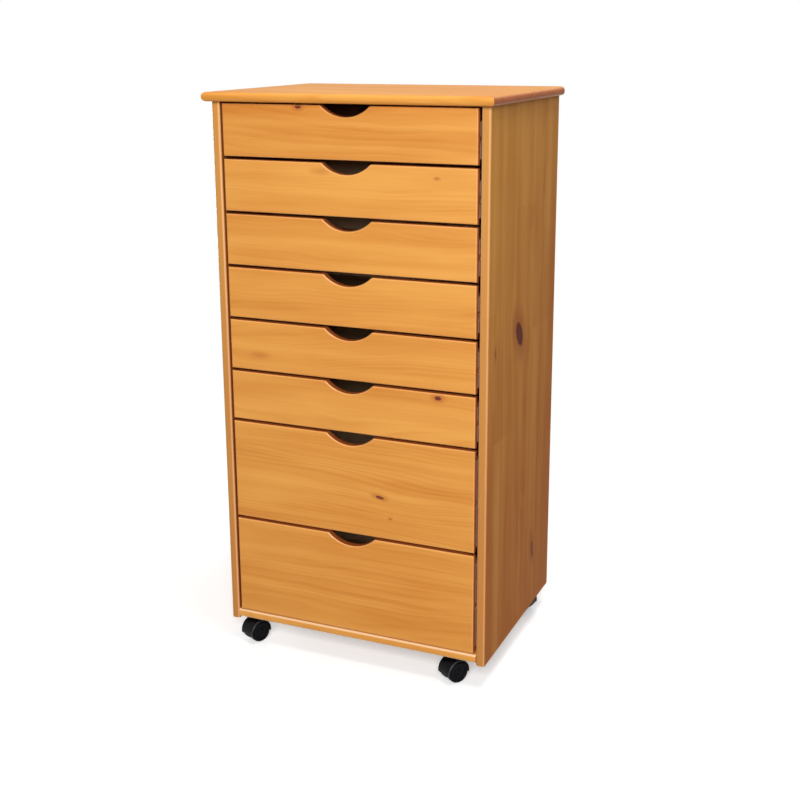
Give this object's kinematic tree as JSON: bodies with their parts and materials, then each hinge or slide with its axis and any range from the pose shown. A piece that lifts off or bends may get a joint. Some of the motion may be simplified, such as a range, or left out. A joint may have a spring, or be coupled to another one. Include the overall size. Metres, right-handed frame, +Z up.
{
  "type": "rolling drawer cart",
  "caption": "Tall wooden cart on swivel casters with a stack of inset drawers, shallow above and deep below, each pulled by a curved finger notch.",
  "frame": {"origin": "on the floor below the middle of the top panel's outline", "axes": "+Z up, +Y to the back, +X to the right seen from the front; the drawers open along -Y"},
  "size_m": [0.5284, 0.3912, 1.0236],
  "materials": {
    "stained_pine": "honey stain under satin lacquer",
    "raw_pine": "sanded, unstained",
    "thin_board": "smooth plywood",
    "beech": "plain",
    "zinc_alloy": "die-cast, dull",
    "zinc_plated_steel": "bright zinc",
    "black_hood_plastic": "moulded, low gloss",
    "black_wheel_plastic": "moulded nylon"
  },
  "bodies": {
    "carcass": {"top_panel": "stained_pine", "left_side_panel": "stained_pine", "right_side_panel": "stained_pine", "bottom_panel": "stained_pine", "back_panel": "thin_board", "drawer_runners": "raw_pine", "runner_screws": "zinc_plated_steel", "cam_bolts": "zinc_plated_steel", "cam_locks": "zinc_alloy", "carcass_dowels": "beech", "caster_plates": "zinc_plated_steel", "caster_screws": "zinc_plated_steel"},
    "drawer_1": {"drawer_1_front": "stained_pine", "drawer_1_sides": "raw_pine", "drawer_1_back": "raw_pine", "drawer_1_bottom": "thin_board"},
    "drawer_2": {"drawer_2_front": "stained_pine", "drawer_2_sides": "raw_pine", "drawer_2_back": "raw_pine", "drawer_2_bottom": "thin_board"},
    "drawer_3": {"drawer_3_front": "stained_pine", "drawer_3_sides": "raw_pine", "drawer_3_back": "raw_pine", "drawer_3_bottom": "thin_board"},
    "drawer_4": {"drawer_4_front": "stained_pine", "drawer_4_sides": "raw_pine", "drawer_4_back": "raw_pine", "drawer_4_bottom": "thin_board"},
    "drawer_5": {"drawer_5_front": "stained_pine", "drawer_5_sides": "raw_pine", "drawer_5_back": "raw_pine", "drawer_5_bottom": "thin_board"},
    "drawer_6": {"drawer_6_front": "stained_pine", "drawer_6_sides": "raw_pine", "drawer_6_back": "raw_pine", "drawer_6_bottom": "thin_board"},
    "drawer_7": {"drawer_7_front": "stained_pine", "drawer_7_sides": "raw_pine", "drawer_7_back": "raw_pine", "drawer_7_bottom": "thin_board"},
    "drawer_8": {"drawer_8_front": "stained_pine", "drawer_8_sides": "raw_pine", "drawer_8_back": "raw_pine", "drawer_8_bottom": "thin_board"},
    "front_left_caster": {"front_left_caster_hood": "black_hood_plastic", "front_left_caster_axle": "zinc_plated_steel"},
    "front_left_left_wheel": {"front_left_left_wheel": "black_wheel_plastic"},
    "front_left_right_wheel": {"front_left_right_wheel": "black_wheel_plastic"},
    "front_right_caster": {"front_right_caster_hood": "black_hood_plastic", "front_right_caster_axle": "zinc_plated_steel"},
    "front_right_left_wheel": {"front_right_left_wheel": "black_wheel_plastic"},
    "front_right_right_wheel": {"front_right_right_wheel": "black_wheel_plastic"},
    "rear_left_caster": {"rear_left_caster_hood": "black_hood_plastic", "rear_left_caster_axle": "zinc_plated_steel"},
    "rear_left_left_wheel": {"rear_left_left_wheel": "black_wheel_plastic"},
    "rear_left_right_wheel": {"rear_left_right_wheel": "black_wheel_plastic"},
    "rear_right_caster": {"rear_right_caster_hood": "black_hood_plastic", "rear_right_caster_axle": "zinc_plated_steel"},
    "rear_right_left_wheel": {"rear_right_left_wheel": "black_wheel_plastic"},
    "rear_right_right_wheel": {"rear_right_right_wheel": "black_wheel_plastic"}
  },
  "joints": [
    {"name": "drawer_1_slide", "type": "slide", "parent": "carcass", "child": "drawer_1", "axis": [0, -1, 0], "range_m": [0, 0.26]},
    {"name": "drawer_2_slide", "type": "slide", "parent": "carcass", "child": "drawer_2", "axis": [0, -1, 0], "range_m": [0, 0.26]},
    {"name": "drawer_3_slide", "type": "slide", "parent": "carcass", "child": "drawer_3", "axis": [0, -1, 0], "range_m": [0, 0.26]},
    {"name": "drawer_4_slide", "type": "slide", "parent": "carcass", "child": "drawer_4", "axis": [0, -1, 0], "range_m": [0, 0.26]},
    {"name": "drawer_5_slide", "type": "slide", "parent": "carcass", "child": "drawer_5", "axis": [0, -1, 0], "range_m": [0, 0.26]},
    {"name": "drawer_6_slide", "type": "slide", "parent": "carcass", "child": "drawer_6", "axis": [0, -1, 0], "range_m": [0, 0.26]},
    {"name": "drawer_7_slide", "type": "slide", "parent": "carcass", "child": "drawer_7", "axis": [0, -1, 0], "range_m": [0, 0.26]},
    {"name": "drawer_8_slide", "type": "slide", "parent": "carcass", "child": "drawer_8", "axis": [0, -1, 0], "range_m": [0, 0.26]},
    {"name": "front_left_swivel", "type": "hinge", "parent": "carcass", "child": "front_left_caster", "pos_m": [-0.20216, -0.15158, 0.044], "axis": [0, 0, 1], "continuous": true},
    {"name": "front_left_left_spin", "type": "hinge", "parent": "front_left_caster", "child": "front_left_left_wheel", "pos_m": [-0.20948, -0.16802, 0.02], "axis": [0.9135, -0.4067, 0], "continuous": true},
    {"name": "front_left_right_spin", "type": "hinge", "parent": "front_left_caster", "child": "front_left_right_wheel", "pos_m": [-0.20948, -0.16802, 0.02], "axis": [0.9135, -0.4067, 0], "continuous": true},
    {"name": "front_right_swivel", "type": "hinge", "parent": "carcass", "child": "front_right_caster", "pos_m": [0.20216, -0.15158, 0.044], "axis": [0, 0, 1], "continuous": true},
    {"name": "front_right_left_spin", "type": "hinge", "parent": "front_right_caster", "child": "front_right_left_wheel", "pos_m": [0.19236, -0.16668, 0.02], "axis": [0.8387, -0.5446, 0], "continuous": true},
    {"name": "front_right_right_spin", "type": "hinge", "parent": "front_right_caster", "child": "front_right_right_wheel", "pos_m": [0.19236, -0.16668, 0.02], "axis": [0.8387, -0.5446, 0], "continuous": true},
    {"name": "rear_left_swivel", "type": "hinge", "parent": "carcass", "child": "rear_left_caster", "pos_m": [-0.20216, 0.15358, 0.044], "axis": [0, 0, 1], "continuous": true},
    {"name": "rear_left_left_spin", "type": "hinge", "parent": "rear_left_caster", "child": "rear_left_left_wheel", "pos_m": [-0.21248, 0.13883, 0.02], "axis": [0.8192, -0.5736, 0], "continuous": true},
    {"name": "rear_left_right_spin", "type": "hinge", "parent": "rear_left_caster", "child": "rear_left_right_wheel", "pos_m": [-0.21248, 0.13883, 0.02], "axis": [0.8192, -0.5736, 0], "continuous": true},
    {"name": "rear_right_swivel", "type": "hinge", "parent": "carcass", "child": "rear_right_caster", "pos_m": [0.20216, 0.15358, 0.044], "axis": [0, 0, 1], "continuous": true},
    {"name": "rear_right_left_spin", "type": "hinge", "parent": "rear_right_caster", "child": "rear_right_left_wheel", "pos_m": [0.21977, 0.14984, 0.02], "axis": [0.2079, 0.9781, 0], "continuous": true},
    {"name": "rear_right_right_spin", "type": "hinge", "parent": "rear_right_caster", "child": "rear_right_right_wheel", "pos_m": [0.21977, 0.14984, 0.02], "axis": [0.2079, 0.9781, 0], "continuous": true}
  ]
}
